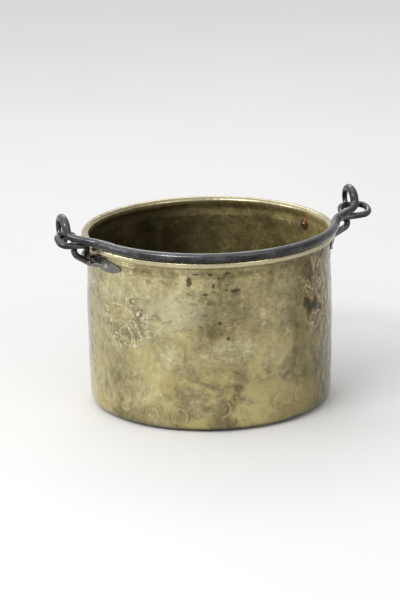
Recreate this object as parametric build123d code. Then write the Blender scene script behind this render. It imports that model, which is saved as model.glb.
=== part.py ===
# Brass log holder: a round rolled-rim tub with two forged iron ears and an iron bail handle.
# Units are millimetres. Z is up, the base stands on Z = 0 and the tub's axis is the Z axis.
# The two ears sit on the X axis and the bail lies on the front of the rim, towards -Y.
from build123d import *
import os
from math import asin, cos, degrees, radians, sin, sqrt, tan

# Tub
RIM_RADIUS = 200.0
RIM_HEIGHT = 269.5
BEAD_RADIUS = 6.4
SHEET = 1.6
WALL_INSET = 8.3
BULGE = 1.1
BASE_CORNER = 17.0
ROLL_TURN = 290

# Shared clearances
CLEARANCE = 0.3
SEAT_GAP = 0.3

# Ears, measured from the rim's bead centre
EAR_BAR = 5.0
EAR_WIDTH = 30.0
HINGE_HEIGHT = 19.0
FRONT_STRAND_DROP = 9.0
EAR_END_RIGHT = 24.3
EAR_END_LEFT = 11.3

# Leaf pads
LEAF_LENGTH = 24.0
LEAF_HEIGHT = 18.4
LEAF_THICK = 3.8
LEAF_DROP = 21.3

# Rivets and roves
RIVET_ANGLE = 17.0
RIVET_RADIUS = 2.4
RIVET_HEAD = 5.0
ROVE_RADIUS = 9.0

# Bail
BAIL_BAR = 7.2
ARM_BAR = 5.8
EYE_OUT = 37.7
EYE_HALF_WIDTH = 21.5
EYE_HALF_HEIGHT = 18.5
EYE_THIN = 4.1

# Sizes that follow from the ones above
BEAD_CENTRE = RIM_RADIUS - BEAD_RADIUS
WALL_RADIUS = RIM_RADIUS - WALL_INSET
EYE_PLANE = RIM_RADIUS + EYE_OUT
WIRE_RADIUS = BEAD_RADIUS - SHEET - CLEARANCE
WALL_INSIDE = WALL_RADIUS - SHEET
LEAF_INSIDE = WALL_RADIUS + SEAT_GAP
HOLE_RADIUS = RIVET_RADIUS + CLEARANCE
BAIL_REST = BEAD_RADIUS + BAIL_BAR + CLEARANCE
BAIL_SHIFT = 0.389 * BAIL_REST
BAIL_RADIUS = BEAD_CENTRE + BAIL_SHIFT
BAIL_LIFT = sqrt(BAIL_REST**2 - BAIL_SHIFT**2)
EYE_HEIGHT = HINGE_HEIGHT - EAR_BAR - CLEARANCE - EYE_THIN + EYE_HALF_HEIGHT


def place(out, forward, up):
    """A point given by its distance out along X, its distance forward and its height over the bead."""
    return Vector(out, -forward, RIM_HEIGHT + up)


def on_wall(radius, angle, up):
    """A point at a radius, at an angle forward from the ear's own axis."""
    return place(radius * cos(radians(angle)), radius * sin(radians(angle)), up)


def rounded_path(points, bends):
    """Straight runs joined by tangent arcs, one bend radius for each inner corner."""
    edges = []
    start = points[0]
    for corner, following, bend in zip(points[1:-1], points[2:], bends):
        arriving = (corner - start).normalized()
        leaving = (following - corner).normalized()
        turn = radians(arriving.get_angle(leaving))
        trim = bend * tan(turn / 2)
        first = corner - arriving * trim
        last = corner + leaving * trim
        inward = (leaving - arriving).normalized()
        middle = corner + inward * bend * (1 / cos(turn / 2) - 1)
        edges.append(Line(start, first))
        edges.append(ThreePointArc(first, middle, last))
        start = last
    edges.append(Line(start, points[-1]))
    return Wire([edge.edge() for edge in edges])


def round_bar(path, radius):
    """A round bar along a path."""
    section = Plane(origin=path @ 0, z_dir=path % 0) * Circle(radius)
    return sweep(section, path=path)


def tapered_bar(points, radii, arriving, leaving):
    """A bar lofted through circles set square to a smooth curve, its radius changing on the way."""
    curve = Spline(points, tangents=[arriving, leaving]).edge()
    steps = len(points) - 1
    marks = [curve.param_at_point(point) for point in points]
    across = Vector(0, 0, 1).cross(curve % 0).normalized()
    sections = []
    for index in range(2 * steps + 1):
        low = index // 2
        high = min(low + index % 2, steps)
        at = (marks[low] + marks[high]) / 2
        radius = (radii[low] + radii[high]) / 2
        along = (curve % at).normalized()
        across = (across - along * across.dot(along)).normalized()
        sections.append(Plane(origin=curve @ at, x_dir=across, z_dir=along) * Circle(radius))
    return loft(sections)


# Tub

def tub_skin(depth):
    """The sheet at a depth below its inner skin, from the axis up the wall and over the wire."""
    neck = RIM_HEIGHT - 2 * BEAD_RADIUS
    bead_in = BEAD_CENTRE - BEAD_RADIUS
    step = WALL_INSIDE - bead_in
    bend = ((RIM_HEIGHT - neck) ** 2 + step**2) / (4 * step)
    swing = degrees(asin((RIM_HEIGHT - neck) / 2 / bend))
    foot = WALL_INSIDE - BULGE + depth
    belly = (WALL_INSIDE + BULGE + depth, 0.42 * RIM_HEIGHT)
    floor = SHEET - depth
    corner_radius = BASE_CORNER - floor
    wall = WALL_INSIDE + depth
    edges = [
        Line((0, floor), (foot - corner_radius, floor)),
        CenterArc((foot - corner_radius, BASE_CORNER), corner_radius, -90, 90),
        ThreePointArc((foot, BASE_CORNER), belly, (wall, 0.78 * RIM_HEIGHT)),
        Line((wall, 0.78 * RIM_HEIGHT), (wall, neck)),
        CenterArc((WALL_INSIDE - bend, neck), bend + depth, 0, swing),
        CenterArc((bead_in + bend, RIM_HEIGHT), bend - depth, 180 + swing, -swing),
        CenterArc((BEAD_CENTRE, RIM_HEIGHT), BEAD_RADIUS - depth, 180, -ROLL_TURN),
    ]
    return edges


def tub_section():
    """The sheet in section, between its two skins."""
    inner = tub_skin(0)
    outer = tub_skin(SHEET)
    start = Line(inner[0] @ 0, outer[0] @ 0)
    end = Line(inner[-1] @ 1, outer[-1] @ 1)
    return make_face(inner + outer + [start, end])


def rivet_axes(angle_sign):
    """The planes of one ear's rivets, looking out from the tub's axis."""
    turned = angle_sign * RIVET_ANGLE
    return Plane(origin=on_wall(0, 0, -LEAF_DROP + 1), z_dir=on_wall(1, turned, 0) - on_wall(0, 0, 0))


def rivet_hole(angle_sign):
    """The bore for one rivet, through pad and wall."""
    bore = Cylinder(HOLE_RADIUS, RIM_RADIUS, align=(Align.CENTER, Align.CENTER, Align.MIN))
    return rivet_axes(angle_sign) * (Pos(0, 0, BEAD_CENTRE / 2) * bore)


def make_tub():
    """Base, wall and rolled rim in one sheet, pierced for the four rivets."""
    section = Plane.XZ * tub_section()
    tub = revolve(section, axis=Axis.Z)
    for angle_sign in (1, -1):
        hole = rivet_hole(angle_sign)
        tub = tub - hole
        tub = tub - mirror(hole, about=Plane.YZ)
    return tub


def make_rim_wire():
    """The iron wire closed up inside the rolled rim."""
    return Pos(0, 0, RIM_HEIGHT) * Torus(BEAD_CENTRE, WIRE_RADIUS)


# Ears

def leaf_outline(angle_sign):
    """The long pointed leaf, drawn square to the wall at its own middle."""
    root = 3.0
    middle = root + LEAF_LENGTH / 2
    facing = on_wall(1, angle_sign * middle, 0) - on_wall(0, 0, 0)
    along = Vector(0, 0, 1).cross(facing) * -angle_sign
    half = LEAF_HEIGHT / 2
    rows = [
        (0.00, 0.46, -4.0),
        (0.20, 0.78, -2.0),
        (0.42, 0.98, -0.6),
        (0.63, 1.00, 0.2),
        (0.82, 0.80, 0.3),
        (0.94, 0.44, 0.2),
    ]
    upper = []
    lower = []
    for share, width, rise in rows:
        run = LEAF_INSIDE * sin(radians(share * LEAF_LENGTH + root - middle))
        upper.append((run, rise + width * half))
        lower.append((run, rise - width * half))
    tip = (LEAF_INSIDE * sin(radians(LEAF_LENGTH / 2)), 0)
    top = Spline(upper + [tip])
    bottom = Spline(lower + [tip])
    end = Line(upper[0], lower[0])
    face = Face(Wire([top.edge(), bottom.edge(), end.edge()]))
    plane = Plane(origin=on_wall(0, 0, -LEAF_DROP), x_dir=along, z_dir=facing)
    return extrude(plane * face, amount=RIM_RADIUS + BEAD_RADIUS, dir=facing)


def leaf_band():
    """A band round the wall with a ridge along its middle, thinner towards its edges."""
    ridge = LEAF_INSIDE + LEAF_THICK
    edge = LEAF_INSIDE + 0.42 * LEAF_THICK
    middle = RIM_HEIGHT - LEAF_DROP
    reach = 0.62 * LEAF_HEIGHT
    section = make_face(
        Polyline(
            (LEAF_INSIDE, middle - reach),
            (edge, middle - reach),
            (ridge, middle),
            (edge, middle + reach),
            (LEAF_INSIDE, middle + reach),
            close=True,
        )
    )
    return revolve(Plane.XZ * section, axis=Axis.Z)


def leaf_pad(angle_sign):
    """One leaf, thinned to its tip and pierced and spot-faced for its rivet."""
    outline = leaf_outline(angle_sign)
    pad = leaf_band() & outline
    thick_at = 10.0
    trim_radius = 150.0
    trim_centre = LEAF_INSIDE + LEAF_THICK - trim_radius
    trim = Cylinder(trim_radius, 4 * LEAF_HEIGHT)
    trim = Pos(on_wall(trim_centre, angle_sign * thick_at, -LEAF_DROP)) * trim
    pad = pad & trim
    spot = Cylinder(RIVET_HEAD + CLEARANCE, LEAF_THICK, align=(Align.CENTER, Align.CENTER, Align.MIN))
    spot = rivet_axes(angle_sign) * (Pos(0, 0, rivet_seat()) * spot)
    return pad - spot - rivet_hole(angle_sign)


def rivet_seat():
    """How far out from the axis a rivet head's seat lies."""
    return LEAF_INSIDE + 0.66 * LEAF_THICK


def ear_path(end):
    """The one bar of an ear, from the front pad, round the ring and back to the rear pad."""
    lie = LEAF_INSIDE + EAR_BAR
    hinge = HINGE_HEIGHT
    strand = hinge - FRONT_STRAND_DROP
    reach = EYE_PLANE + end
    points = [
        on_wall(lie, 9.5, -LEAF_DROP - 2),
        place(lie + 1.6, 12.5, -LEAF_DROP - 5.5),
        place(EYE_PLANE - 10.2, EAR_WIDTH - 7, strand - 17),
        place(EYE_PLANE - 18.7, 0, hinge),
        place(reach, 0, hinge),
        place(reach, EAR_WIDTH, strand),
        place(lie + 10, EAR_WIDTH - 1, strand - 3),
        place(lie + 7, 6, -16),
        place(lie + 1.6, -13, -LEAF_DROP - 5),
        on_wall(lie, -9.5, -LEAF_DROP - 2),
    ]
    end_bend = min(end - CLEARANCE, EAR_WIDTH / 2 - 1)
    return rounded_path(points, [9, 9, 7, end_bend, end_bend, 10, 16, 10])


def ear_root(start, way, angle_sign):
    """The bar's end drawn down to a blunt point on the leaf."""
    last = on_wall(LEAF_INSIDE + 0.5 * LEAF_THICK, angle_sign * 14.2, -LEAF_DROP)
    thick = Plane(origin=start, z_dir=way) * Circle(EAR_BAR)
    thin = Plane(origin=last, z_dir=last - start) * Circle(0.4 * EAR_BAR)
    return loft([thick, thin])


def make_ear(end):
    """One ear for the +X side: ring bar, two drawn roots and two leaf pads in one forging."""
    path = ear_path(end)
    ear = round_bar(path, EAR_BAR)
    ear = ear + ear_root(path @ 0, -(path % 0), 1)
    ear = ear + ear_root(path @ 1, path % 1, -1)
    for angle_sign in (1, -1):
        ear = ear + leaf_pad(angle_sign)
    return ear


# Rivets and roves

def make_rivet(angle_sign):
    """A domed head outside, a round shank and an end peened over the rove inside."""
    seat = rivet_seat() + CLEARANCE
    peen = WALL_INSIDE - 2.5
    head = 2.4
    cap = 1.7
    outline = Polyline(
        (0, peen - cap),
        (1.9, peen - cap + 0.25),
        (3.3, peen - 0.55),
        (3.7, peen),
        (RIVET_RADIUS, peen),
        (RIVET_RADIUS, seat),
        (RIVET_HEAD, seat),
        (0.94 * RIVET_HEAD, seat + 0.45 * head),
        (0.66 * RIVET_HEAD, seat + 0.83 * head),
        (0, seat + head),
        close=True,
    )
    rivet = revolve(Plane.XZ * make_face(outline), axis=Axis.Z)
    return rivet_axes(angle_sign) * rivet


def make_rove(angle_sign):
    """A copper rove inside the wall, a little thicker at its middle."""
    back = WALL_INSIDE - 0.6
    outline = Polyline(
        (HOLE_RADIUS, back),
        (ROVE_RADIUS, back),
        (ROVE_RADIUS, back - 0.7),
        (0.6 * ROVE_RADIUS, back - 1.5),
        (HOLE_RADIUS, back - 1.6),
        close=True,
    )
    rove = revolve(Plane.XZ * make_face(outline), axis=Axis.Z)
    return rivet_axes(angle_sign) * rove


# Bail

def eye_point(angle):
    """A point on the oval of the bail's eye, the angle starting at the front and going up."""
    forward = EYE_HALF_WIDTH * cos(radians(angle))
    up = EYE_HEIGHT + EYE_HALF_HEIGHT * sin(radians(angle))
    return place(EYE_PLANE, forward, up)


def bail_arm(start_angle):
    """The +X end of the bail: the arm rising off the rim and its closed eye."""
    start = on_wall(BAIL_RADIUS, start_angle, BAIL_LIFT)
    start_way = on_wall(1, start_angle - 90, 0) - on_wall(0, 0, 0)
    crossing = HINGE_HEIGHT - FRONT_STRAND_DROP + EAR_BAR + ARM_BAR + CLEARANCE
    arm = [
        (start, BAIL_BAR),
        (place(BEAD_CENTRE - 7.3, EAR_WIDTH + 40, BAIL_LIFT + 0.4), BAIL_BAR),
        (place(RIM_RADIUS, EAR_WIDTH + 19.5, BAIL_LIFT + 1.9), BAIL_BAR - 0.3),
        (place(RIM_RADIUS + 13, EAR_WIDTH + 11, crossing - 3.6), ARM_BAR + 0.5),
        (place(RIM_RADIUS + 24, EAR_WIDTH + 5.5, crossing - 0.9), ARM_BAR),
        (place(EYE_PLANE - 6.0, EAR_WIDTH + 0.2, crossing + 1.0), ARM_BAR),
        (place(EYE_PLANE - 1.2, EYE_HALF_WIDTH + 3.1, crossing + 4.9), ARM_BAR + 0.5),
    ]
    eye = [(14, 6.7), (34, 6.8), (54, 6.6), (74, 6.3), (94, 6.0), (118, 5.5), (142, 4.9), (166, 4.4)]
    eye = eye + [(190, EYE_THIN), (214, EYE_THIN), (238, EYE_THIN), (262, EYE_THIN), (284, 4.0)]
    eye = eye + [(306, 3.7), (326, 3.2)]
    points = [point for point, radius in arm] + [eye_point(angle) for angle, radius in eye]
    radii = [radius for point, radius in arm] + [radius for angle, radius in eye]
    end_way = eye_point(330) - eye_point(324)
    return tapered_bar(points, radii, start_way, end_way)


def make_bail():
    """The half hoop of round bar with a closed eye at each end."""
    start_angle = 27.0
    sweep_angle = 180 - 2 * start_angle
    hoop = CenterArc((0, 0, RIM_HEIGHT + BAIL_LIFT), BAIL_RADIUS, -start_angle, -sweep_angle)
    bail = round_bar(Wire([hoop.edge()]), BAIL_BAR)
    arm = bail_arm(start_angle)
    bail = bail + arm
    return bail + mirror(arm, about=Plane.YZ)


def main():
    os.makedirs("parts", exist_ok=True)
    pieces = {
        "tub": make_tub(),
        "rim_wire": make_rim_wire(),
        "right_ear": make_ear(EAR_END_RIGHT),
        "left_ear": mirror(make_ear(EAR_END_LEFT), about=Plane.YZ),
        "bail_handle": make_bail(),
    }
    for end_name, angle_sign in (("front", 1), ("back", -1)):
        rivet = make_rivet(angle_sign)
        rove = make_rove(angle_sign)
        pieces["right_" + end_name + "_rivet"] = rivet
        pieces["left_" + end_name + "_rivet"] = mirror(rivet, about=Plane.YZ)
        pieces["right_" + end_name + "_washer"] = rove
        pieces["left_" + end_name + "_washer"] = mirror(rove, about=Plane.YZ)
    for name, piece in pieces.items():
        export_step(piece, "parts/" + name + ".step")
        box = piece.bounding_box()
        print(name, round(piece.volume), len(piece.solids()), [round(v, 1) for v in (*box.min, *box.max)])


main()
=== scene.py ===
# %% [markdown]
# # Hammered brass log holder
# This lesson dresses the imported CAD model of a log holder. The CAD gives the true sizes and the joint.
# Here the tub gets its beaten skin, the iron its forged surface, and a camera and soft light are set.
# All lengths are metres and every piece is made in the CAD's own frame.

# %% Load the frame
import math
import random

import bmesh
import bpy
from mathutils import Matrix, Vector, noise


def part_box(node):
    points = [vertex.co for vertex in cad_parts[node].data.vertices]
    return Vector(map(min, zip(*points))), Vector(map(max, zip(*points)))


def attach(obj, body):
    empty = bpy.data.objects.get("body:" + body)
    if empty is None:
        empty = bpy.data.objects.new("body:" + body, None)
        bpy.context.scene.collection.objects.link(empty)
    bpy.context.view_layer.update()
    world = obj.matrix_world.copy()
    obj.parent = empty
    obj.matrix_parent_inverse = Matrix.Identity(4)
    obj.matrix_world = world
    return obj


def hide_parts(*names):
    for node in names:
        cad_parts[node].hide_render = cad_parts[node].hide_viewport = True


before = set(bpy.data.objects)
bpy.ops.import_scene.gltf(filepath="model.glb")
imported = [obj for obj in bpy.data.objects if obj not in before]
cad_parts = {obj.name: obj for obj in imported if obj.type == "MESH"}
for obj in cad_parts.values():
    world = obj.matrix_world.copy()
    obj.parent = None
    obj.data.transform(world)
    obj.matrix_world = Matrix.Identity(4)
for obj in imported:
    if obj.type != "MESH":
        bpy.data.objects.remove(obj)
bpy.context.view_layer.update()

# %% [markdown]
# ## Shared sizes
# The tub's skin follows the CAD tub: the same rim, bead, wall and corner. The beating only moves it
# sideways by a millimetre or two, and never where the ears' pads lie.

# %% Shared sizes
tub_low, tub_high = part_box("tub")
RIM = tub_high[0]
BEAD = 0.0064
TOP = tub_high[2] - BEAD
SHEET = 0.0016
WALL_OUT = 0.1917
WALL_IN = WALL_OUT - SHEET
BULGE = 0.0011
CORNER = 0.017
BEAD_CENTRE = RIM - BEAD
print("rim", round(RIM, 4), "bead centre height", round(TOP, 4))

# %% [markdown]
# ## Node helpers
# A material is a tree of shader nodes. Each small function here adds one node, sets or links its
# inputs and returns its output, so that the recipes further down read like a list of steps.

# %% Helpers for a new tree and its textures
def new_material(name):
    """A material with an empty tree but for a Principled shader and the output."""
    material = bpy.data.materials.new(name)
    material.use_nodes = True
    tree = material.node_tree
    tree.nodes.clear()
    out = tree.nodes.new("ShaderNodeOutputMaterial")
    shader = tree.nodes.new("ShaderNodeBsdfPrincipled")
    tree.links.new(shader.outputs["BSDF"], out.inputs["Surface"])
    return material, tree, shader


def object_coords(tree):
    """The piece's own coordinates, which travel with it when it moves."""
    return tree.nodes.new("ShaderNodeTexCoord").outputs["Object"]


def scaled_coords(tree, coords, scale):
    """Coordinates stretched along the axes."""
    node = tree.nodes.new("ShaderNodeMapping")
    node.inputs["Scale"].default_value = scale
    tree.links.new(coords, node.inputs["Vector"])
    return node.outputs["Vector"]


def noise_node(tree, coords, scale, detail=3.0, rough=0.5, distortion=0.0, output="Fac"):
    """A noise texture."""
    node = tree.nodes.new("ShaderNodeTexNoise")
    node.inputs["Scale"].default_value = scale
    node.inputs["Detail"].default_value = detail
    node.inputs["Roughness"].default_value = rough
    node.inputs["Distortion"].default_value = distortion
    tree.links.new(coords, node.inputs["Vector"])
    return node.outputs[output]


def cell_node(tree, coords, scale, smooth=None):
    """The distance to the nearest of many scattered points, which makes shallow bowls."""
    node = tree.nodes.new("ShaderNodeTexVoronoi")
    node.feature = "F1" if smooth is None else "SMOOTH_F1"
    node.inputs["Scale"].default_value = scale
    if smooth is not None:
        node.inputs["Smoothness"].default_value = smooth
    tree.links.new(coords, node.inputs["Vector"])
    return node.outputs["Distance"]


print("texture helpers ready")

# %% Helpers for sums on values and vectors
def fill_sockets(tree, values, sockets):
    """Links where a value is a node's output, and settings where it is a number or a tuple."""
    for value, socket in zip(values, sockets):
        if isinstance(value, bpy.types.NodeSocket):
            tree.links.new(value, socket)
        else:
            socket.default_value = value


def maths_node(tree, operation, *values):
    """One sum on numbers."""
    node = tree.nodes.new("ShaderNodeMath")
    node.operation = operation
    fill_sockets(tree, values, node.inputs)
    return node.outputs[0]


def times(tree, first, second):
    """A product of two numbers."""
    return maths_node(tree, "MULTIPLY", first, second)


def vector_node(tree, operation, *values):
    """One sum on vectors."""
    node = tree.nodes.new("ShaderNodeVectorMath")
    node.operation = operation
    fill_sockets(tree, values, node.inputs)
    gives_number = operation in ("LENGTH", "DOT_PRODUCT")
    return node.outputs["Value" if gives_number else "Vector"]


def axes_node(tree, vector):
    """A vector's parts, by the names X, Y and Z."""
    node = tree.nodes.new("ShaderNodeSeparateXYZ")
    tree.links.new(vector, node.inputs[0])
    return node.outputs


def range_node(tree, value, low, high, to_low, to_high):
    """A clamped change of range."""
    node = tree.nodes.new("ShaderNodeMapRange")
    node.inputs["From Min"].default_value = low
    node.inputs["From Max"].default_value = high
    node.inputs["To Min"].default_value = to_low
    node.inputs["To Max"].default_value = to_high
    tree.links.new(value, node.inputs["Value"])
    return node.outputs["Result"]


print("sum helpers ready")

# %% Helpers for colour and bump
def ramp_node(tree, value, stops):
    """A colour ramp with its stops given as (position, colour)."""
    node = tree.nodes.new("ShaderNodeValToRGB")
    elements = node.color_ramp.elements
    elements[0].position = stops[0][0]
    elements[0].color = (*stops[0][1], 1)
    elements[1].position = stops[-1][0]
    elements[1].color = (*stops[-1][1], 1)
    for position, colour in stops[1:-1]:
        element = elements.new(position)
        element.color = (*colour, 1)
    tree.links.new(value, node.inputs["Fac"])
    return node.outputs["Color"]


def mix_node(tree, factor, first, second, blend="MIX"):
    """A mix of two colours by a factor."""
    node = tree.nodes.new("ShaderNodeMix")
    node.data_type = "RGBA"
    node.blend_type = blend
    values = [(*value, 1) if isinstance(value, tuple) else value for value in (factor, first, second)]
    fill_sockets(tree, values, (node.inputs[0], node.inputs[6], node.inputs[7]))
    return node.outputs[2]


def shaded(tree, colour, shade):
    """A colour made lighter or darker by a number."""
    grey = tree.nodes.new("ShaderNodeCombineColor")
    for socket in grey.inputs[:3]:
        tree.links.new(shade, socket)
    return mix_node(tree, 1.0, colour, grey.outputs[0], "MULTIPLY")


def bump_node(tree, height, distance, strength, before=None):
    """A bump from a height, laid over an earlier one."""
    node = tree.nodes.new("ShaderNodeBump")
    node.inputs["Distance"].default_value = distance
    node.inputs["Strength"].default_value = strength
    tree.links.new(height, node.inputs["Height"])
    if before is not None:
        tree.links.new(before, node.inputs["Normal"])
    return node.outputs["Normal"]


print("colour helpers ready")

# %% [markdown]
# ## Masks on the wall
# Some marks sit at one place on the tub. Each is an oval patch, given by its angle round the tub, its
# height and its half sizes. A noise pushes the coordinates about first, so the oval's edge is uneven.

# %% Masks on the wall
PATCH_RADIUS = 0.1915


def warped_coords(tree, coords, scale, reach):
    """Coordinates pushed about by a noise, for uneven edges."""
    push = noise_node(tree, coords, scale, 2.0, output="Color")
    centred = vector_node(tree, "SUBTRACT", push, (0.5, 0.5, 0.5))
    return vector_node(tree, "MULTIPLY_ADD", centred, (reach, reach, reach), coords)


def patch_mask(tree, coords, patch, core=0.75, edge=1.05):
    """1 inside an oval patch of the wall, falling to 0 outside it."""
    angle, height, wide, tall = patch
    turn = math.radians(angle)
    centre = (PATCH_RADIUS * math.cos(turn), PATCH_RADIUS * math.sin(turn), height)
    offset = vector_node(tree, "SUBTRACT", coords, centre)
    stretched = vector_node(tree, "MULTIPLY", offset, (1 / wide, 1 / wide, 1 / tall))
    return range_node(tree, vector_node(tree, "LENGTH", stretched), core, edge, 1.0, 0.0)


def line_mask(tree, value, level, width):
    """A thin line along one level of a texture."""
    gap = maths_node(tree, "ABSOLUTE", maths_node(tree, "SUBTRACT", value, level))
    return range_node(tree, gap, 0.25 * width, width, 1.0, 0.0)


print("masks ready")

# %% [markdown]
# ## Brass
# Old beaten brass is a mirror under a thin brown skin. It could be one colour with a bump, but then it
# would look new. So the colour wanders between pale yellow, khaki and a greenish brown, single marks
# are laid over it, and four sizes of bump bend the reflections.

# %% Dark pits under the rim
PITS = [
    # angle in degrees, height, half width, half height
    (-118.2, 0.242, 0.0048, 0.0085),
    (-115.2, 0.254, 0.0060, 0.0016),
    (-108.4, 0.254, 0.0045, 0.0018),
    (-100.7, 0.255, 0.0060, 0.0014),
    (-104.6, 0.248, 0.0030, 0.0022),
    (-107.2, 0.236, 0.0018, 0.0034),
    (-96.8, 0.227, 0.0085, 0.0036),
    (-101.4, 0.229, 0.0024, 0.0020),
    (-110.5, 0.222, 0.0050, 0.0026),
    (-104.3, 0.177, 0.0034, 0.0034),
    (-105.0, 0.152, 0.0020, 0.0018),
    (-100.5, 0.152, 0.0030, 0.0028),
]


def pit_mask(tree, coords):
    """High where a listed pit lies."""
    warped = warped_coords(tree, coords, 210.0, 0.0060)
    mask = patch_mask(tree, warped, PITS[0])
    for pit in PITS[1:]:
        mask = maths_node(tree, "MAXIMUM", mask, patch_mask(tree, warped, pit))
    return times(tree, mask, 0.8)


print("pits", len(PITS))

# %% Curls and waves
CURL_PATCH = (-152.0, 0.170, 0.074, 0.046)
WAVE_PATCH = (-45.0, 0.196, 0.078, 0.092)
WAVE_TONES = [
    (0.38, (0.040, 0.030, 0.018)),
    (0.44, (0.20, 0.125, 0.05)),
    (0.485, (0.20, 0.165, 0.085)),
    (0.505, (0.50, 0.43, 0.27)),
    (0.53, (0.080, 0.055, 0.028)),
    (0.60, (0.22, 0.175, 0.085)),
]


def painted_reflection_curls(tree, coords, colour):
    """Painted reflections on the left: curly pale lines with dark edges, as a bright window makes in
    small dents.
    """
    zone = patch_mask(tree, warped_coords(tree, coords, 30.0, 0.03), CURL_PATCH, 0.7, 1.0)
    curls = noise_node(tree, coords, 46.0, 1.0, 0.45, 1.5)
    dark = times(tree, line_mask(tree, curls, 0.53, 0.035), zone)
    middle_line = line_mask(tree, curls, 0.50, 0.018)
    low_line = line_mask(tree, curls, 0.43, 0.014)
    pale = times(tree, maths_node(tree, "MAXIMUM", middle_line, low_line), zone)
    colour = mix_node(tree, times(tree, dark, 0.6), colour, (0.13, 0.105, 0.05))
    return mix_node(tree, times(tree, pale, 0.8), colour, (0.88, 0.86, 0.68))


def tarnish_and_reflection_waves(tree, coords, colour):
    """Brown and beige waves down the right side, partly tarnish and partly painted reflection of dark
    surroundings.
    """
    zone = patch_mask(tree, warped_coords(tree, coords, 26.0, 0.03), WAVE_PATCH, 0.5, 1.0)
    tall = scaled_coords(tree, coords, (1.0, 1.0, 0.55))
    waves = noise_node(tree, tall, 30.0, 2.5, 0.6, 1.8)
    return mix_node(tree, times(tree, zone, 0.9), colour, ramp_node(tree, waves, WAVE_TONES))


print("curls at", CURL_PATCH[0], "degrees, waves at", WAVE_PATCH[0])

# %% Marks low and high on the wall
BLOOM_PATCH = (-126.0, 0.190, 0.060, 0.045)
NECK_HEIGHT = 0.2535


def painted_ring_highlights_and_shade(tree, coords, height, colour):
    """Painted highlights and painted shade along the outlines of round hammer marks low on the wall."""
    rings = cell_node(tree, warped_coords(tree, coords, 50.0, 0.005), 27.0)
    low = range_node(tree, height, 0.050, 0.130, 0.34, 0.0)
    uneven = range_node(tree, noise_node(tree, coords, 44.0, 2.0), 0.42, 0.58, 0.0, 1.0)
    low = times(tree, low, uneven)
    # Painted shade on one edge and painted highlight on the other edge of each mark.
    dark = times(tree, line_mask(tree, rings, 0.42, 0.07), low)
    pale = times(tree, line_mask(tree, rings, 0.33, 0.06), low)
    colour = mix_node(tree, dark, colour, (0.20, 0.155, 0.065))
    return mix_node(tree, pale, colour, (0.66, 0.58, 0.32))


def golden_and_grey(tree, coords, height, colour):
    """Golden clouds, more of them low down, and one greyer bloom where the hand has rubbed."""
    clouds = range_node(tree, noise_node(tree, coords, 14.0, 4.0, 0.65, 0.6), 0.46, 0.58, 0.0, 1.0)
    low = range_node(tree, height, 0.02, 0.20, 0.70, 0.25)
    colour = mix_node(tree, times(tree, clouds, low), colour, (0.54, 0.455, 0.20))
    bloom = patch_mask(tree, warped_coords(tree, coords, 12.0, 0.06), BLOOM_PATCH, 0.3, 1.0)
    return mix_node(tree, times(tree, bloom, 0.5), colour, (0.52, 0.49, 0.34))


def painted_foot_shadow_and_rim_highlight(tree, height, colour):
    """A painted contact shadow that darkens the foot, and a painted highlight that makes the rim pale.
    """
    # Painted shadow: the lowest centimetre of the tub is darkened.
    colour = shaded(tree, colour, range_node(tree, height, 0.001, 0.011, 0.45, 1.0))
    # Painted highlight: the rim is mixed towards pale brass.
    rim_highlight = range_node(tree, height, 0.2620, 0.2700, 0.0, 0.5)
    return mix_node(tree, rim_highlight, colour, (0.74, 0.68, 0.48))


def darker_under_rim(tree, coords, height, colour):
    """Darker patches along the hollow under the rolled rim."""
    under_rim_band = line_mask(tree, height, NECK_HEIGHT, 0.006)
    patchy = range_node(tree, noise_node(tree, coords, 75.0, 4.0, 0.7), 0.48, 0.58, 0.0, 0.6)
    return mix_node(tree, times(tree, under_rim_band, patchy), colour, (0.10, 0.095, 0.05))


print("bloom at", BLOOM_PATCH[0], "degrees, grime at", NECK_HEIGHT)

# %% [markdown]
# The recipe itself has a colour, a gloss and a bump. The inside uses the same recipe with duller tones,
# less metal and more roughness, and without the marks that belong to the outside.

# %% Colour, gloss and bump of brass
DIRT = (0.045, 0.038, 0.018)


def mottled_tones(tree, coords, tones):
    """Broad patches of the listed tones, shaded by streaks, blotches, ridges and flecks."""
    patches = noise_node(tree, coords, 11.0, 8.0, 0.66, 0.7)
    colour = ramp_node(tree, patches, [(0.32 + 0.12 * index, tone) for index, tone in enumerate(tones)])
    tall = scaled_coords(tree, coords, (1.0, 1.0, 0.6))
    shade = range_node(tree, noise_node(tree, tall, 42.0, 6.0, 0.68, 0.8), 0.36, 0.66, 0.76, 1.12)
    blotches = noise_node(tree, coords, 120.0, 4.0, 0.7, 0.4)
    shade = times(tree, shade, range_node(tree, blotches, 0.40, 0.62, 0.82, 1.10))
    ridge = noise_node(tree, coords, 21.0, 3.0, 0.55, 0.9)
    crest = range_node(tree, line_mask(tree, ridge, 0.5, 0.012), 0.0, 1.0, 1.0, 1.14)
    shade = times(tree, shade, crest)
    shade = times(tree, shade, range_node(tree, ridge, 0.49, 0.51, 0.95, 1.04))
    flecks = noise_node(tree, coords, 260.0, 3.0, 0.7)
    shade = times(tree, shade, range_node(tree, flecks, 0.40, 0.62, 0.88, 1.08))
    return shaded(tree, colour, shade)


def speck_mask(tree, coords):
    """Small faint specks, in a few places only."""
    specks = range_node(tree, cell_node(tree, coords, 150.0), 0.05, 0.14, 0.3, 0.0)
    places = range_node(tree, noise_node(tree, coords, 20.0, 3.0), 0.63, 0.72, 0.0, 1.0)
    return times(tree, specks, places)


def brass_gloss(tree, coords, height, spot, smoothest, roughest):
    """Roughness that wanders, higher on dirt and towards the rim."""
    rough = range_node(tree, noise_node(tree, coords, 26.0, 5.0, 0.65), 0.36, 0.68, smoothest, roughest)
    rough = maths_node(tree, "ADD", rough, times(tree, spot, 0.3))
    return maths_node(tree, "ADD", rough, range_node(tree, height, 0.246, 0.258, 0.0, 0.12))


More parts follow.
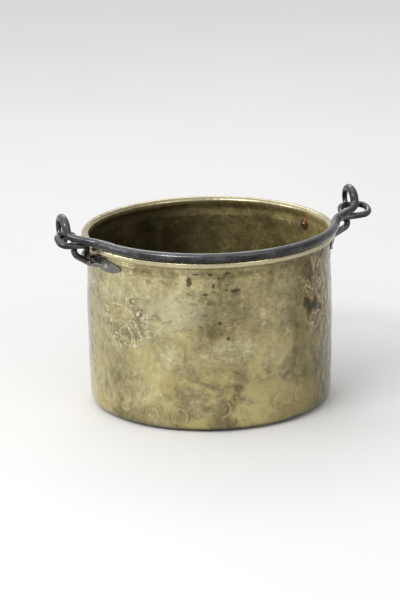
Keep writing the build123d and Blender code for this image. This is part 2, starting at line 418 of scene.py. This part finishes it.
def brass_bump(tree, coords, height, beat):
    """Waves, two sizes of hammer mark and a fine grain, calmer at the rim."""
    calm = range_node(tree, height, 0.246, 0.258, 1.0, 0.2)
    waves = times(tree, noise_node(tree, coords, 34.0, 2.0, 0.5, 0.7), calm)
    normal = bump_node(tree, waves, 0.0045 * beat, 0.5)
    marks = times(tree, cell_node(tree, coords, 58.0, 0.25), calm)
    normal = bump_node(tree, marks, 0.0013 * beat, 0.7, normal)
    normal = bump_node(tree, cell_node(tree, coords, 150.0, 0.3), 0.0005 * beat, 0.5, normal)
    return bump_node(tree, noise_node(tree, coords, 520.0, 3.0), 0.00006, 0.4, normal)


print("brass parts ready")

# %% The two brasses
def brass_material(name, tones, outside, metal, gloss, beat, painted_side_shade):
    """Hammered and tarnished brass, with painted shade from one side of the tub to the other."""
    material, tree, shader = new_material(name)
    coords = object_coords(tree)
    axes = axes_node(tree, coords)
    height = axes["Z"]
    colour = mottled_tones(tree, coords, tones)
    spot = speck_mask(tree, coords)
    if outside:
        colour = golden_and_grey(tree, coords, height, colour)
        # Painted highlights and shade round the hammer marks low on the wall.
        colour = painted_ring_highlights_and_shade(tree, coords, height, colour)
    # Painted shade by X: the outside darkens towards its right, the inside darkens towards its left and
    # gets painted light towards its right. The rim is left out.
    side = range_node(tree, axes["X"], *painted_side_shade)
    at_rim = range_node(tree, height, 0.260, 0.268, 0.0, 1.0)
    colour = shaded(tree, colour, maths_node(tree, "MAXIMUM", side, at_rim))
    if outside:
        # Painted contact shadow at the foot and painted highlight on the rim.
        colour = painted_foot_shadow_and_rim_highlight(tree, height, colour)
        # Painted reflection: curly pale lines with dark edges on the left.
        colour = painted_reflection_curls(tree, coords, colour)
        # Partly tarnish, partly painted reflection of dark surroundings on the right side.
        colour = tarnish_and_reflection_waves(tree, coords, colour)
        colour = darker_under_rim(tree, coords, height, colour)
        spot = maths_node(tree, "MAXIMUM", spot, pit_mask(tree, coords))
    tree.links.new(mix_node(tree, spot, colour, DIRT), shader.inputs["Base Color"])
    shader.inputs["Metallic"].default_value = metal
    tree.links.new(brass_gloss(tree, coords, height, spot, *gloss), shader.inputs["Roughness"])
    tree.links.new(brass_bump(tree, coords, height, beat), shader.inputs["Normal"])
    return material


OUTSIDE = [(0.19, 0.155, 0.075), (0.32, 0.275, 0.145), (0.44, 0.39, 0.215), (0.58, 0.53, 0.32)]
INSIDE = [(0.12, 0.095, 0.036), (0.21, 0.17, 0.068), (0.31, 0.255, 0.105), (0.42, 0.35, 0.15)]
# The last tuple of each call sets the painted shade and light across the tub, by X.
brass = brass_material(
    "beaten_brass", OUTSIDE, outside=True, metal=1.0, gloss=(0.07, 0.22), beat=1.2,
    painted_side_shade=(0.0, 0.15, 1.06, 0.40))
brass_inside = brass_material(
    "dull_brass", INSIDE, outside=False, metal=0.6, gloss=(0.32, 0.52), beat=1.0,
    painted_side_shade=(-0.01, 0.16, 0.24, 1.8))
print("made", brass.name, "and", brass_inside.name)

# %% [markdown]
# ## Iron
# The iron was forged, then handled for years: smooth, with soft hammer flats and a few brown flecks.
# Painted highlight makes the tops of the bars grey, and painted shade keeps their undersides nearly
# black.
# The leaf pads are scratched paler than the bars. The CAD's shapes are right, so only their materials
# change.

# %% Iron
IRON_TONES = [
    (0.30, (0.028, 0.028, 0.030)),
    (0.50, (0.062, 0.062, 0.067)),
    (0.72, (0.135, 0.136, 0.143)),
]


def painted_top_light_and_under_shade(tree, colour):
    """Painted highlight on the top of a bar and painted shade on its underside."""
    normal = tree.nodes.new("ShaderNodeTexCoord").outputs["Normal"]
    upwards = axes_node(tree, normal)["Z"]
    # Painted shade: the underside of each bar is darkened.
    colour = shaded(tree, colour, range_node(tree, upwards, -0.5, 0.2, 0.45, 1.0))
    # Painted highlight: the top of each bar is mixed towards grey.
    painted_top_highlight = range_node(tree, upwards, 0.35, 0.90, 0.0, 0.55)
    return mix_node(tree, painted_top_highlight, colour, (0.30, 0.30, 0.31))


def iron_material():
    """Forged iron, worn smooth, with soft flats and brown flecks."""
    material, tree, shader = new_material("forged_iron")
    coords = object_coords(tree)
    colour = ramp_node(tree, noise_node(tree, coords, 45.0, 5.0, 0.6, 0.3), IRON_TONES)
    rust = range_node(tree, noise_node(tree, coords, 90.0, 4.0, 0.6), 0.56, 0.72, 0.0, 0.55)
    colour = mix_node(tree, rust, colour, (0.05, 0.033, 0.022))
    # Painted highlight on the tops of the bars and painted shade beneath them.
    colour = painted_top_light_and_under_shade(tree, colour)
    pads = range_node(tree, axes_node(tree, coords)["Z"], 0.252, 0.262, 0.7, 0.0)
    scratches = range_node(tree, noise_node(tree, coords, 130.0, 5.0, 0.7), 0.36, 0.60, 0.35, 1.0)
    colour = mix_node(tree, times(tree, pads, scratches), colour, (0.24, 0.225, 0.20))
    tree.links.new(colour, shader.inputs["Base Color"])
    shader.inputs["Metallic"].default_value = 0.85
    rough = range_node(tree, noise_node(tree, coords, 60.0, 4.0), 0.3, 0.7, 0.16, 0.30)
    tree.links.new(rough, shader.inputs["Roughness"])
    normal = bump_node(tree, cell_node(tree, coords, 85.0, 0.9), 0.0005, 0.3)
    normal = bump_node(tree, noise_node(tree, coords, 260.0, 4.0, 0.65), 0.00010, 0.4, normal)
    tree.links.new(normal, shader.inputs["Normal"])
    return material


iron = iron_material()
print("made", iron.name)

# %% [markdown]
# ## Rivets and roves
# The rivet heads are iron worn brighter than the bars, and the roves inside the tub are dull copper.
# Both are a centimetre or two across, so one fine noise gives each its colour and another its bump.

# %% Rivets and roves
COPPER_TONES = [(0.3, (0.20, 0.075, 0.035)), (0.55, (0.46, 0.17, 0.085)), (0.75, (0.66, 0.30, 0.17))]
WORN_TONES = [(0.3, (0.16, 0.165, 0.18)), (0.7, (0.42, 0.43, 0.45))]


def small_metal(name, tones, tone_scale, rough, bump_scale, bump_depth):
    """A plain metal for a small fastener."""
    material, tree, shader = new_material(name)
    coords = object_coords(tree)
    colour = ramp_node(tree, noise_node(tree, coords, tone_scale, 4.0, 0.6), tones)
    tree.links.new(colour, shader.inputs["Base Color"])
    shader.inputs["Metallic"].default_value = 0.9
    shader.inputs["Roughness"].default_value = rough
    normal = bump_node(tree, noise_node(tree, coords, bump_scale, 3.0), bump_depth, 0.5)
    tree.links.new(normal, shader.inputs["Normal"])
    return material


worn_iron = small_metal("worn_iron", WORN_TONES, 260.0, 0.3, 300.0, 0.0003)
copper = small_metal("dull_copper", COPPER_TONES, 160.0, 0.42, 220.0, 0.0004)
print("made", worn_iron.name, "and", copper.name)

# %% Hand out the metals
ENDS = [side + end for side in ("left_", "right_") for end in ("front", "back")]
FINISHES = [
    (iron, ["rim_wire", "left_ear", "right_ear", "bail_handle"]),
    (worn_iron, [end + "_rivet" for end in ENDS]),
    (copper, [end + "_washer" for end in ENDS]),
]
for material, names in FINISHES:
    for name in names:
        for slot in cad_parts[name].material_slots:
            slot.material = material
    print(material.name, "on", len(names), "nodes")

# %% [markdown]
# ## The beaten tub
# The CAD tub is smooth, as a lathe would leave it, while the real one is hammered all over. A bump alone
# would leave its outline smooth, so the sheet is made again: one closed profile is spun round the axis,
# and each vertex is then moved in or out, the same on both skins.

# %% Tub profile
def arc_points(centre, radius, start, turn, count):
    """Points along an arc in the section, angles in degrees."""
    points = []
    for step in range(count + 1):
        angle = math.radians(start + turn * step / count)
        points.append((centre[0] + radius * math.cos(angle), centre[1] + radius * math.sin(angle)))
    return points


def wall_radius(height):
    """The inner skin's radius, with its slight belly."""
    belly_top = 0.78 * TOP
    if height >= belly_top:
        return WALL_IN
    share = (height - CORNER) / (belly_top - CORNER)
    return WALL_IN - BULGE + BULGE * share + 1.6 * BULGE * 4 * share * (1 - share)


def skin_points(depth, wall_steps, floor_steps, bead_steps):
    """One skin of the sheet in section, from the axis to the end of the rolled rim."""
    neck = TOP - 2 * BEAD
    bead_in = BEAD_CENTRE - BEAD
    step = WALL_IN - bead_in
    bend = ((TOP - neck) ** 2 + step**2) / (4 * step)
    swing = math.degrees(math.asin((TOP - neck) / 2 / bend))
    foot = wall_radius(CORNER) + depth
    corner_radius = CORNER - SHEET + depth
    flat = foot - corner_radius
    points = [(flat * index / floor_steps, SHEET - depth) for index in range(floor_steps)]
    points += arc_points((flat, CORNER), corner_radius, -90, 90, 8)
    for index in range(1, wall_steps + 1):
        height = CORNER + (neck - CORNER) * index / wall_steps
        points.append((wall_radius(height) + depth, height))
    points += arc_points((WALL_IN - bend, neck), bend + depth, 0, swing, 3)[1:]
    points += arc_points((bead_in + bend, TOP), bend - depth, 180 + swing, -swing, 3)[1:]
    points += arc_points((BEAD_CENTRE, TOP), BEAD - depth, 180, -290, bead_steps)[1:]
    return points


inner_skin = skin_points(0.0, wall_steps=56, floor_steps=12, bead_steps=24)
outer_skin = skin_points(SHEET, wall_steps=92, floor_steps=8, bead_steps=10)
print("profile points", len(inner_skin) + len(outer_skin))

# %% [markdown]
# The larger dents are listed by their angle round the tub and their height: pits under the rim, one soft
# boss pushed outwards, and hollows that a knock would leave. Twenty more are scattered by a seeded
# random number maker, so every run puts them in the same places. The bowls further down have no seed
# of their own, so their fine pattern differs by a few tenths of a millimetre from run to run.

# %% Dents and round hammer marks
rng = random.Random(11)
DENTS = [
    # angle in degrees, height, half width, half height, depth (inwards is negative)
    (-96.7, 0.228, 0.010, 0.006, -0.0013),
    (-110.0, 0.221, 0.007, 0.005, -0.0008),
    (-104.3, 0.177, 0.006, 0.005, -0.0007),
    (-137.4, 0.233, 0.012, 0.009, 0.0019),
    (-155.6, 0.109, 0.006, 0.006, -0.0012),
    (-62.8, 0.100, 0.020, 0.020, -0.0010),
    (-132.5, 0.141, 0.024, 0.012, -0.0011),
    (-162.6, 0.147, 0.026, 0.014, -0.0012),
]
for index in range(20):
    DENTS.append((
        rng.uniform(-180, 180), rng.uniform(0.03, 0.225), rng.uniform(0.006, 0.016),
        rng.uniform(0.005, 0.013), rng.choice((-1, -1, 1)) * rng.uniform(0.0003, 0.0010)))

DISCS = [
    # angle in degrees, height, radius, depth: round planishing marks low on the right
    (-80.8, 0.036, 0.015, 0.0008), (-73.0, 0.058, 0.016, 0.0007), (-88.5, 0.060, 0.014, 0.0006),
    (-66.5, 0.030, 0.014, 0.0007), (-95.0, 0.034, 0.015, 0.0006), (-62.0, 0.066, 0.016, 0.0007),
    (-104.0, 0.052, 0.014, 0.0005), (-70.0, 0.088, 0.014, 0.0006), (-54.0, 0.044, 0.015, 0.0006),
    (-115.0, 0.040, 0.014, 0.0005), (-128.0, 0.055, 0.015, 0.0005), (-56.0, 0.120, 0.015, 0.0006),
]
print("dents", len(DENTS), "discs", len(DISCS))

# %% [markdown]
# The rest of the beating comes from sums that need no list: three sizes of gentle swell, a crease down
# the lower front, and courses of shallow bowls that follow the smith round the tub. The swells are read
# at the wall's own place in space, so they meet without a seam behind the tub.

# %% Swells, bowls and dents as one sum
SWELLS = [
    # height of the swell, how many to the metre, where the noise is read
    (0.0011, 9, (3, 1, 7)),
    (0.0007, 24, (1, 8, 2)),
    (0.00030, 60, (0, 0, 0)),
]
BOWLS_ROUND = 66
COURSE = 0.0175
BOWL_DEPTH = 0.00034
CURL_ANGLE = math.radians(-155)
CREASE_ANGLE = math.radians(-103.4)


def turn_from(angle, centre):
    """The shortest turn from one angle to another."""
    return (angle - centre + math.pi) % math.tau - math.pi


def bowls(angle, height):
    """Rows of shallow hammer bowls, jittered from course to course."""
    across = angle / math.tau * BOWLS_ROUND
    course = height / COURSE
    total = 0.0
    for row in (math.floor(course), math.floor(course) + 1):
        shift = 0.5 * (row % 2)
        for column in (math.floor(across - shift), math.floor(across - shift) + 1):
            jitter = noise.noise_vector(Vector((column % BOWLS_ROUND * 1.7, row * 2.3, 0.5)))
            du = across - shift - column - 0.35 * jitter.x
            dv = course - row - 0.35 * jitter.y
            total += (0.6 + 0.7 * jitter.z) * math.exp(-3.2 * (du * du + dv * dv))
    return total


def skin_shift(angle, height):
    """How far the sheet moves outwards at an angle and a height."""
    point = Vector((math.cos(angle) * 0.19, math.sin(angle) * 0.19, height))
    shift = 0.0
    for swell, scale, offset in SWELLS:
        shift += swell * noise.noise(point * scale + Vector(offset))
    shift -= BOWL_DEPTH * bowls(angle, height)
    curl = turn_from(angle, CURL_ANGLE)
    rough_patch = math.exp(-((curl / 0.42) ** 2) - ((height - 0.185) / 0.045) ** 2)
    shift += 0.0006 * rough_patch * noise.noise(point * 46 + Vector((4, 4, 4)))
    for centre, level, wide, tall, depth in DENTS:
        u = turn_from(angle, math.radians(centre)) * WALL_OUT / wide
        v = (height - level) / tall
        if abs(u) < 2.6 and abs(v) < 2.6:
            shift += depth * math.exp(-(u * u + v * v))
    for centre, level, size, depth in DISCS:
        along = turn_from(angle, math.radians(centre)) * WALL_OUT
        shift -= depth * max(0.0, 1.0 - (along**2 + (height - level) ** 2) / size**2)
    crease = turn_from(angle, CREASE_ANGLE) * WALL_OUT / 0.0035
    crease_share = max(0.0, min(1.0, (0.16 - height) / 0.05))
    return shift + 0.0006 * crease_share * math.exp(-(crease**2))


def calm(angle, height):
    """1 over most of the wall, falling to 0 under the pads and at the rolled rim."""
    rim = max(0.0, min(1.0, (TOP - 0.011 - height) / 0.014))
    off_axis = min(abs(math.degrees(angle)), 180 - abs(math.degrees(angle)))
    beside_pad = max(0.0, min(1.0, (off_axis - 28) / 5))
    below_pad = max(0.0, min(1.0, (TOP - 0.034 - height) / 0.012))
    return rim * max(beside_pad, below_pad)


print("shift at the front", round(skin_shift(-math.pi / 2, 0.1) * 1000, 2), "mm")

# %% [markdown]
# The spin closes on itself with `use_merge`, so the tub is one watertight sheet. The base keeps its
# flat bearing surface, only the corner waves a little above the floor, and the rolled rim is left
# slightly uneven.

# %% Beat the vertices
RIM_ZONE = TOP - 0.0115
FLAT_MIDDLE = 0.02


def beat_vertex(vertex):
    """Moves one vertex of the spun tub as the hammer would."""
    radius = math.hypot(vertex.co.x, vertex.co.y)
    height = vertex.co.z
    if radius < FLAT_MIDDLE:
        return
    angle = math.atan2(vertex.co.y, vertex.co.x)
    move = 0.0
    if height > RIM_ZONE:
        move = -0.00022 * (1 + noise.noise(Vector((angle * 14, height * 30, 2.0))))
        vertex.co.z -= 0.00012 * (1 + noise.noise(Vector((angle * 9, 5.0, 1.0))))
    elif radius > WALL_IN - 0.02 and height > 0.0:
        move = skin_shift(angle, height) * calm(angle, height)
        move *= max(0.0, min(1.0, height / 0.012 + 0.35))
    elif height > 0.0009:
        vertex.co.z += 0.0004 * noise.noise(vertex.co * 22)
    if 0.0 < height < 0.0060 and radius > WALL_IN - CORNER - 0.004:
        wander = 0.5 + 0.5 * noise.noise(Vector((angle * 4.2, 3.0, 9.0)))
        vertex.co.z += 0.0014 * wander * min(1.0, height / 0.0010)
    scale = (radius + move) / radius
    vertex.co.x *= scale
    vertex.co.y *= scale


print("rim zone starts at", round(RIM_ZONE, 4))

# %% Spin the tub
SEGMENTS = 384


def spun_tub():
    """The profile spun round the axis and beaten, as one mesh."""
    mesh = bmesh.new()
    profile = inner_skin + outer_skin[::-1]
    rings = [mesh.verts.new((radius, 0.0, height)) for radius, height in profile]
    edges = [mesh.edges.new((a, b)) for a, b in zip(rings, rings[1:])]
    bmesh.ops.spin(mesh, geom=rings + edges, axis=(0, 0, 1), cent=(0, 0, 0), angle=math.tau,
                   steps=SEGMENTS, use_merge=True, use_duplicate=False)
    bmesh.ops.remove_doubles(mesh, verts=mesh.verts, dist=1e-6)
    for vertex in mesh.verts:
        beat_vertex(vertex)
    bmesh.ops.recalc_face_normals(mesh, faces=mesh.faces)
    for face in mesh.faces:
        face.smooth = True
    data = bpy.data.meshes.new("beaten_tub")
    mesh.to_mesh(data)
    mesh.free()
    return data


def brass_sides(data):
    """The bright brass outside and on the rim, the dull brass inside."""
    data.materials.append(brass)
    data.materials.append(brass_inside)
    for face in data.polygons:
        middle = face.center
        faces_in = face.normal.x * middle.x + face.normal.y * middle.y < 0
        is_wall = faces_in and middle.z < TOP + 0.001
        is_floor = face.normal.z > 0.7 and middle.z < 0.02
        face.material_index = 1 if is_wall or is_floor else 0


tub_mesh = spun_tub()
brass_sides(tub_mesh)
beaten_tub = bpy.data.objects.new("beaten_tub", tub_mesh)
bpy.context.scene.collection.objects.link(beaten_tub)
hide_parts("tub")
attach(beaten_tub, "tub")
print("tub faces", len(tub_mesh.polygons))

# %% [markdown]
# ## Floor
# The floor is a near-white matt plane. It keeps the tub's soft shadow, and it is the whole background
# from the main camera. A backdrop could curve up behind the tub, but the floor alone is enough.

# %% Floor
def make_floor():
    """A wide matt floor just under the tub."""
    mesh = bmesh.new()
    bmesh.ops.create_grid(mesh, x_segments=1, y_segments=1, size=9.0)
    data = bpy.data.meshes.new("floor")
    mesh.to_mesh(data)
    mesh.free()
    material, tree, shader = new_material("floor_white")
    tone = noise_node(tree, object_coords(tree), 3.0, 2.0)
    colour = ramp_node(tree, tone, [(0.2, (0.93, 0.93, 0.93)), (0.8, (0.96, 0.96, 0.96))])
    tree.links.new(colour, shader.inputs["Base Color"])
    shader.inputs["Roughness"].default_value = 0.9
    data.materials.append(material)
    floor = bpy.data.objects.new("floor", data)
    bpy.context.scene.collection.objects.link(floor)
    return floor


floor = make_floor()
print("floor size", [round(v, 1) for v in floor.dimensions])

# %% [markdown]
# ## World
# Metal shows what is round it. An even white world would make the bars look flat, so this one is pale
# all round the horizon and runs from bright on the left to grey on the right overhead.

# %% World
SKY_TONES = [(0.05, (0.11, 0.09, 0.08)), (0.5, (0.50, 0.49, 0.48)), (1.0, (1.0, 1.0, 1.0))]
HORIZON = (0.86, 0.86, 0.86)
BRIGHT_SIDE = (-0.95, 0.20, 0.35)


def make_world():
    """Pale all round the horizon, brightest overhead on the left and greyer overhead on the right."""
    world = bpy.data.worlds.new("studio")
    bpy.context.scene.world = world
    world.use_nodes = True
    tree = world.node_tree
    tree.nodes.clear()
    out = tree.nodes.new("ShaderNodeOutputWorld")
    light = tree.nodes.new("ShaderNodeBackground")
    direction = tree.nodes.new("ShaderNodeTexCoord").outputs["Generated"]
    towards = vector_node(tree, "DOT_PRODUCT", direction, BRIGHT_SIDE)
    tone = ramp_node(tree, range_node(tree, towards, -0.8, 0.8, 0.30, 1.0), SKY_TONES)
    near_horizon = range_node(tree, axes_node(tree, direction)["Z"], 0.10, 0.34, 0.85, 0.0)
    tree.links.new(mix_node(tree, near_horizon, tone, HORIZON), light.inputs["Color"])
    light.inputs["Strength"].default_value = 0.92
    tree.links.new(light.outputs[0], out.inputs["Surface"])
    return world


print("world", make_world().name)

# %% [markdown]
# ## Lamps
# Four soft lamps give the metal its highlights: a long narrow key from the upper left, a fill from the
# front, one behind for the far rim, and a low one on the left.

# %% Lamps
def area_light(name, position, target_height, size, power):
    """A rectangular lamp turned to face a point on the tub's axis."""
    data = bpy.data.lights.new(name, "AREA")
    data.shape = "RECTANGLE"
    data.size, data.size_y = size
    data.energy = power
    lamp = bpy.data.objects.new(name, data)
    lamp.location = position
    aim = Vector((0, 0, target_height)) - Vector(position)
    lamp.rotation_euler = aim.to_track_quat("-Z", "Y").to_euler()
    bpy.context.scene.collection.objects.link(lamp)
    print("lamp", name, power, "W")


area_light("key", (-1.5, -1.1, 1.9), 0.2, (1.3, 0.35), 18)
area_light("fill", (0.9, -2.2, 1.6), 0.2, (1.2, 1.0), 6)
area_light("rear", (0.4, 1.8, 1.9), 0.25, (1.4, 0.8), 8)
area_light("window", (-2.3, 0.6, 0.95), 0.18, (1.0, 0.8), 6)

# %% [markdown]
# ## Camera
# The photograph was measured to find where it was taken from: about five metres away with a long lens,
# fifteen degrees above the rim and nearly nineteen degrees to the left of the front. The rim's centre is
# kept on its own pixel by turning the camera, which needs no shift.

# %% Camera
AZIMUTH = -18.8
ELEVATION = 15.335
DISTANCE = 5.0
FOCAL_PIXELS = 3188.6
FRAME_HEIGHT = 600
SENSOR = 24
RIM_AT = (208.45, 231.44)
MIDDLE = (200.0, 300.0)
ROLL = 0.989


def camera_axes():
    """The camera's right, up and back directions, as rows."""
    lift = math.radians(ELEVATION)
    back = Vector((0, -math.cos(lift), math.sin(lift)))
    right = Vector((1, 0, 0))
    base = Matrix((right, back.cross(right), back))
    across = (RIM_AT[0] - MIDDLE[0]) / FOCAL_PIXELS
    down = -(RIM_AT[1] - MIDDLE[1]) / FOCAL_PIXELS
    pan = math.atan(across)
    tilt = math.atan(down * math.cos(pan))
    turn = Matrix.Rotation(-pan, 3, "Y") @ Matrix.Rotation(tilt, 3, "X")
    turn = turn @ Matrix.Rotation(math.radians(ROLL), 3, "Z")
    swing = Matrix.Rotation(math.radians(AZIMUTH), 3, "Z")
    return turn @ base @ swing.transposed()


def make_camera():
    """The photograph's camera."""
    data = bpy.data.cameras.new("camera")
    data.sensor_fit = "VERTICAL"
    data.sensor_height = SENSOR
    data.lens = FOCAL_PIXELS / FRAME_HEIGHT * SENSOR
    data.clip_end = 60
    camera = bpy.data.objects.new("camera", data)
    lift = math.radians(ELEVATION)
    side = math.radians(AZIMUTH)
    back = Vector((math.sin(side) * math.cos(lift), -math.cos(side) * math.cos(lift), math.sin(lift)))
    place = Vector((0, 0, TOP)) + back * DISTANCE
    camera.matrix_world = Matrix.Translation(place) @ camera_axes().transposed().to_4x4()
    bpy.context.scene.collection.objects.link(camera)
    return camera


camera = make_camera()
bpy.context.scene.camera = camera
bpy.context.scene.view_settings.view_transform = "Standard"
print("camera at", [round(v, 3) for v in camera.matrix_world.translation])
